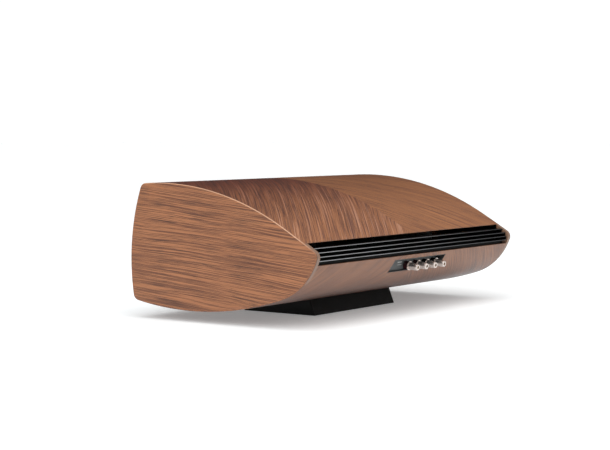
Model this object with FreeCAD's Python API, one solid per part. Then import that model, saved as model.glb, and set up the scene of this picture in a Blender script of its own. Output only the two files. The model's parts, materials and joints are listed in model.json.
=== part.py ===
"""Passive centre-channel loudspeaker: curved veneered cabinet, louvred vent, terminal cup and plinth.

Millimetres. X runs along the cabinet, +X is the right end seen from the back. Y runs from the front
(-Y) to the tail (+Y). Z is up, and z = 0 is the surface that the speaker stands on.
Every sub-part is written to parts/NAME.step.
"""
import FreeCAD, Part
import math
import os

# ---------------------------------------------------------------- cabinet
CABINET_WIDTH = 600.0
END_PANEL = 9.0
END_PANEL_EDGE_R = 2.0
SKIN = 16.0
INNER_X = CABINET_WIDTH / 2 - END_PANEL

# The side outline is a chain of arcs, each tangent to the next, as (centre y, centre z), radius.
FRONT_ARC = ((154.5, 93.0), 342.0)
TOP_ARC = ((-123.0, -283.3), 505.0)
BOTTOM_ARC = ((-60.0, 618.0), 600.0)
TAIL_RADIUS = 2400.0
TAIL_START_Y = 127.0
HEEL_RADIUS = 106.0
HEEL_START_DEG = 17.4
NOSE_RADIUS = 11.9
CORNER_RADIUS = 12.0
SMALLEST_RADIUS = 2.0

# ---------------------------------------------------------------- front baffle
BAFFLE_TILT_DEG = 5.0
BAFFLE_ORIGIN = FreeCAD.Vector(0.0, -172.0, 122.6)
BAFFLE_HEIGHT = 150.0
BAFFLE_THICKNESS = 20.0

# ---------------------------------------------------------------- woofers
# Heights are measured out of the baffle face. A ring is (outer radius, inner radius, low, high).
WOOFER_X = 152.0
WOOFER_FRAME_R = 72.5
WOOFER_FLANGE = 3.5
WOOFER_FLANGE_BEVEL = 1.2
WOOFER_HOLE_R = 61.5
WOOFER_SCREW_R = 67.5
WOOFER_SCREWS = 6
WOOFER_SCREW = (3.4, 2.0, 1.9, 18.0)
BASKET_MOUTH_R = 59.0
BASKET_WALL = 2.0
BASKET_REAR_R = 37.0
BASKET_REAR_WALL = 2.5
BASKET_REAR_HOLE_R = 17.0
BASKET_SHOULDER_Z = -40.0
BASKET_BACK_Z = -44.0
BASKET_STEP_R = 62.0
BASKET_WINDOWS = 6
BASKET_WINDOW = (28.0, 70.0, -14.0, 14.0, -35.0, -8.0)
BASKET_TAG_Z = -41.0
BASKET_TAG_HALF = (5.0, 2.5)
BASKET_TAG_Y = (-41.0, -36.0)
SEAT_Z = 1.0
FRONT_PLATE = (38.0, 14.0, -49.0, -44.0)
FERRITE = (42.0, 22.0, -64.0, -49.0)
BACK_PLATE_R = 38.0
BACK_PLATE_Z = (-70.0, -64.0)
BACK_PLATE_BEVEL = 2.0
POLE_R = 11.5
POLE_TOP_Z = -43.5
CONE_LIP_R = 50.5
CONE_RIM_R = 48.0
CONE_NECK_R = 13.1
CONE_NECK_Z = -22.8
CONE_PAPER = 1.2
CONE_PAPER_AT_NECK = 1.5
FORMER_R = 12.5
FORMER_END_Z = -53.0
COIL_R = 13.5
COIL_TOP_Z = -44.5
CAP_SPHERE_R = 24.0
CAP_CENTRE_Z = -34.0
CAP_WALL = 0.8
CAP_R = 19.0
ROLL_CENTRE_R = 55.0
ROLL_R = 5.0
ROLL_WALL = 0.8
ROLL_INNER_LIP = (50.8, 48.2)
ROLL_OUTER_LIP = (61.8, 59.2)
SPIDER_Z = -36.0
SPIDER_R = 34.0
SPIDER_SKIRT = 0.45
SPIDER_CLOTH = 0.8
SPIDER_SEAT_Z = -41.5

# ---------------------------------------------------------------- tweeter
TWEETER_FACE_R = 52.0
TWEETER_FACE = 4.0
TWEETER_FACE_BEVEL = 1.2
TWEETER_THROAT_R = 15.2
TWEETER_HORN = ((27.0, 4.0), (20.0, 2.2), (15.2, 1.2))
TWEETER_HOLE_R = 37.0
TWEETER_SCREW_R = 46.0
TWEETER_SCREWS = 4
TWEETER_SCREW = (3.0, 1.8, 1.7, 18.0)
TWEETER_MAGNET_R = 36.0
TWEETER_MAGNET_BACK_Z = -30.0
TWEETER_GAP = (14.3, 12.7, -8.0)
TWEETER_POLE_Z = -0.5
DOME_SPHERE_R = 19.0
DOME_CENTRE_Z = -12.0
DOME_WALL = 0.6
DOME_R = 13.9
DOME_FORMER_Z = (-6.0, 1.2)
DOME_EDGE_Z = 0.8

# ---------------------------------------------------------------- vent
VENT_TOP_Y = 162.0
VENT_TOP_Z = 134.0
VENT_LIP_Z = 100.8
VENT_TIP = 0.6
SHELF_THICKNESS = 4.0
SHELF_FRONT_Y = 40.0
SHELF_REAR_Y = 174.0
ROOF_GAP = 0.1
BLADE_THICKNESS = 1.3
BLADE_DEPTH = 16.0
BLADE_PITCH = 6.3
LOWEST_BLADE_Z = 107.5
BLADE_REAR_Y = (184.9, 184.9, 182.7, 175.9)
CHEEK_THICKNESS = 1.5
CHEEK_STEP = 1.2

# ---------------------------------------------------------------- terminals
TERMINAL_TILT_DEG = 8.0
TERMINAL_ORIGIN = FreeCAD.Vector(0.0, 161.05, 82.3)
CUP_LEFT_X = -85.0
CUP_RIGHT_X = 73.0
CUP_ABOVE_POSTS = 15.0
CUP_BELOW_POSTS = 8.5
CUP_WALL = 1.2
CUP_BACK = 12.0
PLATE_THICKNESS = 3.0
PLATE_GAP = 0.2
LEDGE_THICKNESS = 2.0
LEDGE_WIDTH = 1.5
LEDGE_END_WIDTH = 7.0
FIRST_POST_X = 12.7
POST_PITCH = 27.9
POST_COUNT = 4
STUD_R = 3.0
SOCKET_R = 2.0
SOCKET_DEPTH = 19.0
STUD_TOP = 23.6
STUD_TAIL = 16.0
COLLAR_R = 6.8
COLLAR_HEIGHT = 8.0
COLLAR_SPIGOT_R = 4.2
WASHER_R = 7.6
WASHER_THICKNESS = 1.0
KNOB_TOP = 25.6
KNOB_R = 6.6
KNOB_ACROSS_FLATS = 12.0
KNOB_NECK_R = 5.3
KNOB_NOSE = 1.6
KNOB_END_R = 4.9
KNOB_EDGE = 0.4
KNOB_HOLE_R = 2.6
KNOB_THREAD_TOP = 23.8
THREAD_CLEARANCE = 0.06
NUT_HEIGHT = 5.0
NUT_ACROSS_FLATS = 10.0
TAG_R = 5.0
TAG_EAR_HALF = 2.2
TAG_EAR_REACH = 13.0
TAG_THICKNESS = 0.8
TAG_BACK = -PLATE_THICKNESS - NUT_HEIGHT - TAG_THICKNESS

TERMINAL_SCREW_INSET = (5.2, 5.0)
TERMINAL_SCREW_HEAD = (2.6, 1.2)
TERMINAL_SCREW_SHANK_R = 1.2
TERMINAL_SCREW_SLOT = (3.6, 0.6, 0.6)

# ---------------------------------------------------------------- foot
FOOT_HALF_X = 120.5
FOOT_FRONT_Y = -94.6
FOOT_REAR_Y = 53.5
FOOT_BOTTOM_Z = 0.6
FOOT_HEIGHT = 34.0
FOOT_SLOPE_DEG = 22.0
FOOT_EDGE_R = 1.5
PAD_R = 9.0
PAD_DEPTH = 2.4
PAD_X = 104.0
PAD_Y = (-78.0, 37.0)
FOOT_SCREW_X = 80.0
FOOT_SCREW = (4.0, 3.0, 2.0, 24.0)
FOOT_WELL_R = 5.0
FOOT_WELL_DEPTH = 8.0
SCREW_HEAD_EDGE_R = 0.5

# ---------------------------------------------------------------- inside
BRACE_X = 88.0
BRACE_THICKNESS = 12.0
BRACE_REAR_Y = 30.0
BRACE_WINDOW = (-118.0, 0.0, 62.0, 168.0)
BRACE_WINDOW_R = 20.0
BOARD_Z = 46.0
BOARD_THICKNESS = 1.6
BOARD_BOX = (-70.0, 70.0, -116.0, -26.0)
BOARD_TOP_Z = BOARD_Z + BOARD_THICKNESS
SPACER_R = 3.5
SPACER_INSET = 6.0
# Each coil is (x, y, outer radius, inner radius, height).
COILS = ((-44.0, -88.0, 19.0, 9.0, 18.0), (46.0, -92.0, 15.0, 7.0, 15.0))
# Each capacitor is (x, radius, length).
CAPACITORS = ((-2.0, 9.0, 44.0), (18.0, 7.5, 36.0))
CAPACITOR_FRONT_Y = -108.0
RESISTOR_X = (-60.0, 20.0)
RESISTOR_LENGTH = 40.0
RESISTOR_SIDE = 9.0
RESISTOR_FRONT_Y = -46.0
WADDING_THICKNESS = 22.0
WADDING_GAP = 1.0
WADDING_REAR_Y = 34.0
LEAD_R = 1.6
INPUT_LEAD_POSTS = ((1, 8.0), (2, -8.0))

X_AXIS = FreeCAD.Vector(1, 0, 0)
Y_AXIS = FreeCAD.Vector(0, 1, 0)
Z_AXIS = FreeCAD.Vector(0, 0, 1)
ORIGIN = FreeCAD.Vector(0, 0, 0)


# ================================================================ helpers
def yz(x, point):
    """A point of a side outline, at station x."""
    return FreeCAD.Vector(x, point[0], point[1])


def box(low_x, high_x, low_y, high_y, low_z, high_z):
    corner = FreeCAD.Vector(low_x, low_y, low_z)
    return Part.makeBox(high_x - low_x, high_y - low_y, high_z - low_z, corner)


def tube(outer_r, inner_r, low_z, high_z):
    """A ring about the z axis."""
    base = FreeCAD.Vector(0, 0, low_z)
    height = high_z - low_z
    solid = Part.makeCylinder(outer_r, height, base, Z_AXIS)
    if inner_r > 0:
        solid = solid.cut(Part.makeCylinder(inner_r, height, base, Z_AXIS))
    return solid


def hexagon(across_flats, low_z, height):
    corner_r = across_flats / math.sqrt(3)
    corners = [FreeCAD.Vector(corner_r * math.cos(math.radians(60 * step)),
                              corner_r * math.sin(math.radians(60 * step)), low_z) for step in range(6)]
    return Part.Face(Part.makePolygon(corners + corners[:1])).extrude(Z_AXIS * height)


def lathe(points):
    """A closed (radius, z) outline turned about the z axis."""
    corners = [FreeCAD.Vector(radius, 0, height) for radius, height in points]
    wire = Part.makePolygon(corners + corners[:1])
    return Part.Face(wire).revolve(ORIGIN, Z_AXIS, 360)


def prism(points, low_x, high_x):
    """A closed (y, z) outline extruded along x."""
    corners = [yz(low_x, point) for point in points]
    wire = Part.makePolygon(corners + corners[:1])
    return Part.Face(wire).extrude(X_AXIS * (high_x - low_x))


def join(solids):
    result = solids[0]
    for solid in solids[1:]:
        result = result.fuse(solid)
    return result.removeSplitter()


def around(shape, count, first_deg=0.0):
    """Copies of a shape spaced evenly about the z axis."""
    copies = []
    for index in range(count):
        turned = shape.copy()
        turned.rotate(ORIGIN, Z_AXIS, first_deg + 360.0 * index / count)
        copies.append(turned)
    return copies


def moved(shape, x=0.0, y=0.0, z=0.0):
    result = shape.copy()
    result.translate(FreeCAD.Vector(x, y, z))
    return result


def placed(shape, origin, turn_deg, x=0.0):
    """A shape built about its own z axis, put on a face that is turned about X."""
    result = shape.copy()
    turn = FreeCAD.Placement(origin + X_AXIS * x, FreeCAD.Rotation(X_AXIS, turn_deg))
    result.Placement = turn.multiply(shape.Placement)
    return result


def on_baffle(shape, x=0.0):
    """Local z points out of the baffle, local y points up it."""
    return placed(shape, BAFFLE_ORIGIN, 90.0 - BAFFLE_TILT_DEG, x)


def on_terminal(shape, x=0.0):
    """Local z points out of the terminal plate, local y points down it."""
    return placed(shape, TERMINAL_ORIGIN, -90.0 - TERMINAL_TILT_DEG, x)


def baffle_point(x, up, out):
    turn = FreeCAD.Rotation(X_AXIS, 90.0 - BAFFLE_TILT_DEG)
    return BAFFLE_ORIGIN + turn.multVec(FreeCAD.Vector(x, up, out))


def terminal_point(x, down, out):
    turn = FreeCAD.Rotation(X_AXIS, -90.0 - TERMINAL_TILT_DEG)
    return TERMINAL_ORIGIN + turn.multVec(FreeCAD.Vector(x, down, out))


# ================================================================ side outline
def circle_meeting(first, second, radius):
    """The two centres that a circle can have when it touches two larger circles from inside."""
    (ay, az), reach_a = first[0], first[1] - radius
    (by, bz), reach_b = second[0], second[1] - radius
    dy, dz = by - ay, bz - az
    gap = math.hypot(dy, dz)
    along = (reach_a ** 2 - reach_b ** 2 + gap ** 2) / (2 * gap)
    side = math.sqrt(reach_a ** 2 - along ** 2)
    foot_y, foot_z = ay + along * dy / gap, az + along * dz / gap
    return [(foot_y - side * dz / gap, foot_z + side * dy / gap),
            (foot_y + side * dz / gap, foot_z - side * dy / gap)]


def tail_arc():
    """Nearly straight run that leaves the top arc at TAIL_START_Y."""
    (cy, cz), radius = TOP_ARC
    uy = (TAIL_START_Y - cy) / radius
    uz = math.sqrt(1 - uy ** 2)
    step = radius - TAIL_RADIUS
    return (cy + uy * step, cz + uz * step), TAIL_RADIUS


def heel_arc():
    """The tighter curve that turns the bottom up to the nose."""
    (cy, cz), radius = BOTTOM_ARC
    turn = math.radians(HEEL_START_DEG)
    step = radius - HEEL_RADIUS
    return (cy + math.sin(turn) * step, cz - math.cos(turn) * step), HEEL_RADIUS


def corner_arc(first, second, radius, pick):
    """The corner between two arcs, where pick says which of two places is meant."""
    return pick(circle_meeting(first, second, radius)), radius


def outline_arcs(inset):
    """The arcs in order: front, top corner, top, tail, nose, heel, bottom, bottom corner."""
    front, top, tail, heel, bottom = [
        (centre, radius - inset)
        for centre, radius in (FRONT_ARC, TOP_ARC, tail_arc(), heel_arc(), BOTTOM_ARC)
    ]
    corner_r = max(CORNER_RADIUS - inset, SMALLEST_RADIUS)
    nose_r = max(NOSE_RADIUS - inset, SMALLEST_RADIUS)
    top_corner = corner_arc(front, top, corner_r, lambda spots: max(spots, key=lambda spot: spot[1]))
    nose = corner_arc(tail, heel, nose_r, lambda spots: max(spots, key=lambda spot: spot[0]))
    bottom_corner = corner_arc(front, bottom, corner_r, lambda spots: min(spots, key=lambda spot: spot[1]))
    return [front, top_corner, top, tail, nose, heel, bottom, bottom_corner]


def meeting_point(first, second):
    """Where two touching circles touch, on the far side of the smaller one."""
    large, small = (first, second) if first[1] > second[1] else (second, first)
    dy = small[0][0] - large[0][0]
    dz = small[0][1] - large[0][1]
    reach = small[1] / math.hypot(dy, dz)
    return small[0][0] + dy * reach, small[0][1] + dz * reach


def outline_face(inset, x):
    arcs = outline_arcs(inset)
    count = len(arcs)
    joints = [meeting_point(arcs[index - 1], arcs[index]) for index in range(count)]
    edges = []
    for index, ((cy, cz), radius) in enumerate(arcs):
        start = joints[index]
        end = joints[(index + 1) % count]
        my = (start[0] + end[0]) / 2 - cy
        mz = (start[1] + end[1]) / 2 - cz
        reach = radius / math.hypot(my, mz)
        middle = (cy + my * reach, cz + mz * reach)
        edges.append(Part.Arc(yz(x, start), yz(x, middle), yz(x, end)).toShape())
    return Part.Face(Part.Wire(edges))


def body(inset, low_x, high_x):
    """The cabinet's cross section, shrunk by inset, between two stations."""
    return outline_face(inset, low_x).extrude(X_AXIS * (high_x - low_x))


# ================================================================ cabinet
def end_panel(side):
    low_x, high_x = (INNER_X, CABINET_WIDTH / 2) if side > 0 else (-CABINET_WIDTH / 2, -INNER_X)
    outer_x = side * CABINET_WIDTH / 2
    panel = body(0.0, low_x, high_x)
    rim = [edge for edge in panel.Edges
           if all(abs(vertex.X - outer_x) < 1e-6 for vertex in edge.Vertexes)]
    return panel.makeFillet(END_PANEL_EDGE_R, rim)


def skin_ring():
    ring = body(0.0, -INNER_X, INNER_X).cut(body(SKIN, -INNER_X, INNER_X))
    baffle_gap = box(-INNER_X, INNER_X, -BAFFLE_HEIGHT / 2, BAFFLE_HEIGHT / 2, -60, 60)
    ring = ring.cut(on_baffle(baffle_gap))
    vent_gap = prism([(VENT_TOP_Y - 60, VENT_TOP_Z), (VENT_TOP_Y, VENT_TOP_Z),
                      (VENT_TOP_Y, VENT_TOP_Z + VENT_TIP + 4), (230, VENT_TOP_Z + VENT_TIP + 4),
                      (230, VENT_LIP_Z), (VENT_TOP_Y - 60, VENT_LIP_Z)], -INNER_X, INNER_X)
    return ring.cut(vent_gap)


def top_shell():
    return max(skin_ring().Solids, key=lambda solid: solid.CenterOfMass.z)


def bottom_shell():
    shell = min(skin_ring().Solids, key=lambda solid: solid.CenterOfMass.z)
    cup_hole = box(CUP_LEFT_X, CUP_RIGHT_X, -CUP_ABOVE_POSTS, CUP_BELOW_POSTS, -40, 60)
    shell = shell.cut(on_terminal(cup_hole))
    for screw in foot_screw_solids():
        shell = shell.cut(screw)
    return max(shell.Solids, key=lambda solid: solid.Volume)


def front_baffle():
    panel = box(-INNER_X, INNER_X, -BAFFLE_HEIGHT / 2, BAFFLE_HEIGHT / 2, -BAFFLE_THICKNESS, 0)
    for x, radius in ((-WOOFER_X, WOOFER_HOLE_R), (0.0, TWEETER_HOLE_R), (WOOFER_X, WOOFER_HOLE_R)):
        panel = panel.cut(moved(tube(radius, 0, -BAFFLE_THICKNESS, 0), x))
    panel = on_baffle(panel)
    for screw in driver_screws():
        panel = panel.cut(screw)
    return panel


def brace(x):
    """An upright board between the skins with one large window for air and leads."""
    low_x = x - BRACE_THICKNESS / 2
    high_x = x + BRACE_THICKNESS / 2
    board = body(SKIN, low_x, high_x)
    board = board.cut(box(low_x, high_x, BRACE_REAR_Y, CABINET_WIDTH, 0, CABINET_WIDTH))
    in_front = box(low_x, high_x, -BAFFLE_HEIGHT, BAFFLE_HEIGHT, -BAFFLE_THICKNESS, 80)
    board = board.cut(on_baffle(in_front))
    window = box(low_x, high_x, *BRACE_WINDOW)
    corners = [edge for edge in window.Edges if abs(edge.tangentAt(0).x) > 0.9]
    return board.cut(window.makeFillet(BRACE_WINDOW_R, corners))


# ================================================================ vent
def vent_boards():
    """The floor and the roof of the slot-shaped port."""
    floor_z = VENT_LIP_Z + SHELF_THICKNESS
    roof_z = VENT_TOP_Z + SHELF_THICKNESS
    floor = box(-INNER_X, INNER_X, SHELF_FRONT_Y, SHELF_REAR_Y, VENT_LIP_Z, floor_z)
    roof = box(-INNER_X, INNER_X, SHELF_FRONT_Y, SHELF_REAR_Y, VENT_TOP_Z, roof_z)
    return [floor, roof.common(body(SKIN + ROOF_GAP, -INNER_X, INNER_X))]


def blade_z(index):
    return LOWEST_BLADE_Z + index * BLADE_PITCH


def vent_blade(index):
    """A flat strip with rounded long edges. Index 0 is the lowest."""
    reach = INNER_X - CHEEK_THICKNESS
    rear_y = BLADE_REAR_Y[index]
    half = BLADE_THICKNESS / 2
    blade = box(-reach, reach, rear_y - BLADE_DEPTH, rear_y, blade_z(index) - half, blade_z(index) + half)
    long_edges = [edge for edge in blade.Edges if abs(edge.tangentAt(0).x) > 0.9]
    return blade.makeFillet(half * 0.7, long_edges)


def cheek(side):
    """A thin black plate on the inner face of an end panel, stepped to follow the blades."""
    low_x = INNER_X - CHEEK_THICKNESS
    points = [(SHELF_FRONT_Y, VENT_LIP_Z + SHELF_THICKNESS), (SHELF_FRONT_Y, VENT_TOP_Z),
              (VENT_TOP_Y + CHEEK_STEP, VENT_TOP_Z)]
    step_y = VENT_TOP_Y + CHEEK_STEP
    for index in reversed(range(len(BLADE_REAR_Y))):
        level = blade_z(index) + BLADE_THICKNESS / 2
        points.append((step_y, level))
        step_y = BLADE_REAR_Y[index] - CHEEK_STEP
        points.append((step_y, level))
    points.append((SHELF_REAR_Y, VENT_LIP_Z + SHELF_THICKNESS))
    plate = prism(points, low_x, INNER_X)
    if side < 0:
        plate = plate.mirror(ORIGIN, X_AXIS)
    return plate


# ================================================================ terminals
def post_x(index):
    return FIRST_POST_X - index * POST_PITCH


def terminal_cup():
    """An open tray whose rim follows the skin, with a ledge inside for the plate."""
    outer = box(CUP_LEFT_X, CUP_RIGHT_X, -CUP_ABOVE_POSTS, CUP_BELOW_POSTS, -CUP_BACK, 40)
    left, right = CUP_LEFT_X + CUP_WALL, CUP_RIGHT_X - CUP_WALL
    high, low = -CUP_ABOVE_POSTS + CUP_WALL, CUP_BELOW_POSTS - CUP_WALL
    tray = outer.cut(box(left, right, high, low, -PLATE_THICKNESS, 60))
    tray = tray.cut(box(left, right, high, low, -CUP_BACK - 1, -PLATE_THICKNESS - LEDGE_THICKNESS))
    tray = tray.cut(box(left + LEDGE_END_WIDTH, right - LEDGE_END_WIDTH, high + LEDGE_WIDTH,
                        low - LEDGE_WIDTH, -CUP_BACK - 1, 0))
    tray = on_terminal(tray).common(body(0.2, -INNER_X, INNER_X))
    for screw in terminal_screws():
        tray = tray.cut(screw)
    return tray


def terminal_plate():
    rim = CUP_WALL + PLATE_GAP
    plate = box(CUP_LEFT_X + rim, CUP_RIGHT_X - rim, -CUP_ABOVE_POSTS + rim, CUP_BELOW_POSTS - rim,
                -PLATE_THICKNESS, 0)
    for index in range(POST_COUNT):
        plate = plate.cut(moved(tube(COLLAR_SPIGOT_R, 0, -PLATE_THICKNESS, 0), post_x(index)))
    plate = on_terminal(plate)
    for screw in terminal_screws():
        plate = plate.cut(screw)
    return plate


def post_collar(index):
    """The insulator: a spigot through the plate and a round collar on it."""
    collar = tube(COLLAR_R, STUD_R, 0, COLLAR_HEIGHT)
    spigot = tube(COLLAR_SPIGOT_R, STUD_R, -PLATE_THICKNESS, 0)
    return on_terminal(join([collar, spigot]), post_x(index))


def post_stud(index):
    """A hollow brass stud whose open end takes a 4 mm plug."""
    stud = tube(STUD_R, 0, -STUD_TAIL, STUD_TOP)
    stud = stud.cut(tube(SOCKET_R, 0, STUD_TOP - SOCKET_DEPTH, STUD_TOP))
    return on_terminal(stud, post_x(index))


def post_washer(index):
    ring = tube(WASHER_R, STUD_R + THREAD_CLEARANCE, COLLAR_HEIGHT, COLLAR_HEIGHT + WASHER_THICKNESS)
    return on_terminal(ring, post_x(index))


def post_knob(index):
    """A tapering six-sided knob with a short round nose and a plug hole in its end."""
    base = COLLAR_HEIGHT + WASHER_THICKNESS
    outline = [(0, base), (KNOB_R - KNOB_EDGE, base), (KNOB_R, base + KNOB_EDGE),
               (KNOB_NECK_R, KNOB_TOP - KNOB_NOSE), (KNOB_END_R, KNOB_TOP - KNOB_NOSE + KNOB_EDGE),
               (KNOB_END_R, KNOB_TOP - KNOB_EDGE), (KNOB_END_R - KNOB_EDGE, KNOB_TOP), (0, KNOB_TOP)]
    knob = lathe(outline)
    knob = knob.common(hexagon(KNOB_ACROSS_FLATS, base, KNOB_TOP - base))
    knob = knob.cut(tube(STUD_R + THREAD_CLEARANCE, 0, base, KNOB_THREAD_TOP))
    knob = knob.cut(tube(KNOB_HOLE_R, 0, base, KNOB_TOP))
    return on_terminal(knob, post_x(index))


def post_nuts():
    """One hexagon nut behind the plate on each stud."""
    nuts = []
    for index in range(POST_COUNT):
        nut = hexagon(NUT_ACROSS_FLATS, -PLATE_THICKNESS - NUT_HEIGHT, NUT_HEIGHT)
        nut = nut.cut(tube(STUD_R, 0, -STUD_TAIL, 0))
        nuts.append(on_terminal(nut, post_x(index)))
    return nuts


def solder_tags():
    """A tag under each nut's outer face, with an ear that stands off to one side."""
    tags = []
    for index in range(POST_COUNT):
        washer = tube(TAG_R, 0, TAG_BACK, TAG_BACK + TAG_THICKNESS)
        ear = box(-TAG_EAR_HALF, TAG_EAR_HALF, -TAG_EAR_REACH, 0, TAG_BACK, TAG_BACK + TAG_THICKNESS)
        tag = join([washer, ear]).cut(tube(STUD_R, 0, -STUD_TAIL, 0))
        tags.append(on_terminal(tag, post_x(index)))
    return tags


def terminal_screw():
    """A pan-head screw with a straight slot. Its head sits on z = 0."""
    head_r, head_height = TERMINAL_SCREW_HEAD
    slot_length, slot_width, slot_depth = TERMINAL_SCREW_SLOT
    head = tube(head_r, 0, 0, head_height)
    shank = tube(TERMINAL_SCREW_SHANK_R, 0, -PLATE_THICKNESS - LEDGE_THICKNESS, 0)
    slot = box(-slot_length / 2, slot_length / 2, -slot_width / 2, slot_width / 2,
               head_height - slot_depth, head_height)
    return join([head, shank]).cut(slot)


def terminal_screws():
    inset_x, inset_y = TERMINAL_SCREW_INSET
    screws = []
    for x in (CUP_LEFT_X + inset_x, CUP_RIGHT_X - inset_x):
        for y in (-CUP_ABOVE_POSTS + inset_y, CUP_BELOW_POSTS - inset_y):
            screws.append(on_terminal(moved(terminal_screw(), y=y), x))
    return screws


# ================================================================ drivers
def woofer_basket():
    """A stepped cup with windows, a flat flange and one tag for the leads."""
    rear_inner_r = BASKET_REAR_R - BASKET_REAR_WALL
    cup = lathe([(BASKET_MOUTH_R, 0), (BASKET_MOUTH_R + BASKET_WALL, 0), (BASKET_REAR_R, BASKET_SHOULDER_Z),
                 (BASKET_REAR_R, BASKET_BACK_Z), (BASKET_REAR_HOLE_R, BASKET_BACK_Z),
                 (BASKET_REAR_HOLE_R, BASKET_BACK_Z + BASKET_REAR_WALL),
                 (rear_inner_r, BASKET_BACK_Z + BASKET_REAR_WALL), (rear_inner_r, BASKET_SHOULDER_Z)])
    flange = lathe([(BASKET_MOUTH_R, 0), (WOOFER_FRAME_R, 0),
                    (WOOFER_FRAME_R, WOOFER_FLANGE - WOOFER_FLANGE_BEVEL),
                    (WOOFER_FRAME_R - WOOFER_FLANGE_BEVEL, WOOFER_FLANGE),
                    (BASKET_STEP_R + WOOFER_FLANGE_BEVEL, WOOFER_FLANGE),
                    (BASKET_STEP_R, SEAT_Z), (BASKET_MOUTH_R, SEAT_Z)])
    basket = join([cup, flange])
    for opening in around(box(*BASKET_WINDOW), BASKET_WINDOWS):
        basket = basket.cut(opening)
    half_x, half_z = BASKET_TAG_HALF
    tag = box(-half_x, half_x, *BASKET_TAG_Y, BASKET_TAG_Z - half_z, BASKET_TAG_Z + half_z)
    return join([basket, tag])


def woofer_magnet():
    """Front plate, ferrite ring, back plate with its pole: three solids in a stack."""
    back_z, top_z = BACK_PLATE_Z
    back_plate = lathe([(0, back_z), (BACK_PLATE_R - BACK_PLATE_BEVEL, back_z),
                        (BACK_PLATE_R, back_z + BACK_PLATE_BEVEL), (BACK_PLATE_R, top_z),
                        (POLE_R, top_z), (POLE_R, POLE_TOP_Z), (0, POLE_TOP_Z)])
    return [tube(*FRONT_PLATE), tube(*FERRITE), back_plate]


def woofer_cone():
    """Paper cone with a flat rim and the former that carries the coil."""
    return lathe([(CONE_LIP_R, SEAT_Z), (CONE_RIM_R, SEAT_Z), (CONE_NECK_R, CONE_NECK_Z),
                  (FORMER_R, CONE_NECK_Z), (FORMER_R, FORMER_END_Z), (COIL_R, FORMER_END_Z),
                  (COIL_R, COIL_TOP_Z), (CONE_NECK_R, COIL_TOP_Z),
                  (CONE_NECK_R, CONE_NECK_Z - CONE_PAPER_AT_NECK),
                  (CONE_RIM_R + 0.3, SEAT_Z - CONE_PAPER), (CONE_LIP_R, SEAT_Z - CONE_PAPER)])


def woofer_cap():
    """Dust cap: a shallow dome glued to the cone."""
    centre = FreeCAD.Vector(0, 0, CAP_CENTRE_Z)
    dome = Part.makeSphere(CAP_SPHERE_R, centre, Z_AXIS)
    dome = dome.cut(Part.makeSphere(CAP_SPHERE_R - CAP_WALL, centre, Z_AXIS))
    dome = dome.common(tube(CAP_R, 0, CAP_CENTRE_Z, 0))
    behind = 2 * CAP_CENTRE_Z
    return dome.cut(lathe([(0, behind), (CONE_NECK_R, behind), (CONE_NECK_R, CONE_NECK_Z),
                           (CONE_RIM_R, SEAT_Z), (BASKET_STEP_R, SEAT_Z), (BASKET_STEP_R, behind)]))


def woofer_surround():
    centre = FreeCAD.Vector(0, 0, SEAT_Z)
    roll = Part.makeTorus(ROLL_CENTRE_R, ROLL_R, centre, Z_AXIS)
    roll = roll.cut(Part.makeTorus(ROLL_CENTRE_R, ROLL_R - ROLL_WALL, centre, Z_AXIS))
    roll = roll.common(tube(BASKET_STEP_R, 0, SEAT_Z, SEAT_Z + 2 * ROLL_R))
    inner_lip = tube(*ROLL_INNER_LIP, SEAT_Z, SEAT_Z + ROLL_WALL)
    outer_lip = tube(*ROLL_OUTER_LIP, SEAT_Z, SEAT_Z + ROLL_WALL)
    return join([roll, inner_lip, outer_lip])


def woofer_spider():
    """A cloth disc from the former to a skirt glued inside the basket."""
    skirt_r = SPIDER_R + SPIDER_SKIRT
    top_z = SPIDER_Z + SPIDER_CLOTH
    return lathe([(CONE_NECK_R, SPIDER_Z), (SPIDER_R, SPIDER_Z), (SPIDER_R, SPIDER_SEAT_Z),
                  (skirt_r, SPIDER_SEAT_Z), (skirt_r, top_z), (CONE_NECK_R, top_z)])


def tweeter_faceplate():
    plate = lathe([(TWEETER_THROAT_R, 0), (TWEETER_FACE_R, 0),
                   (TWEETER_FACE_R, TWEETER_FACE - TWEETER_FACE_BEVEL),
                   (TWEETER_FACE_R - TWEETER_FACE_BEVEL, TWEETER_FACE), *TWEETER_HORN])
    plate = on_baffle(plate)
    for screw in tweeter_screw_solids():
        plate = plate.cut(screw)
    return plate


def tweeter_magnet():
    gap_outer_r, gap_inner_r, gap_bottom_z = TWEETER_GAP
    back_z = TWEETER_MAGNET_BACK_Z
    return lathe([(0, back_z), (TWEETER_MAGNET_R, back_z), (TWEETER_MAGNET_R, 0),
                  (gap_outer_r, 0), (gap_outer_r, gap_bottom_z), (gap_inner_r, gap_bottom_z),
                  (gap_inner_r, TWEETER_POLE_Z), (0, TWEETER_POLE_Z)])


def tweeter_dome():
    """Silk dome on its short former."""
    centre = FreeCAD.Vector(0, 0, DOME_CENTRE_Z)
    dome = Part.makeSphere(DOME_SPHERE_R, centre, Z_AXIS)
    dome = dome.cut(Part.makeSphere(DOME_SPHERE_R - DOME_WALL, centre, Z_AXIS))
    dome = dome.common(tube(DOME_R, 0, DOME_EDGE_Z, DOME_SPHERE_R))
    former = tube(DOME_R, DOME_R - DOME_WALL, *DOME_FORMER_Z)
    return join([dome, former])


def machine_screw(head_r, head_height, shank_r, length):
    """A pan-head screw with a hexagon socket. Its head sits on z = 0."""
    head = tube(head_r, 0, 0, head_height)
    rim = [edge for edge in head.Edges if edge.BoundBox.ZMin > head_height - 1e-6]
    head = head.makeFillet(SCREW_HEAD_EDGE_R, rim)
    socket = hexagon(head_r * 0.9, head_height * 0.4, head_height)
    return join([head, tube(shank_r, 0, -length, 0)]).cut(socket)


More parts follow.
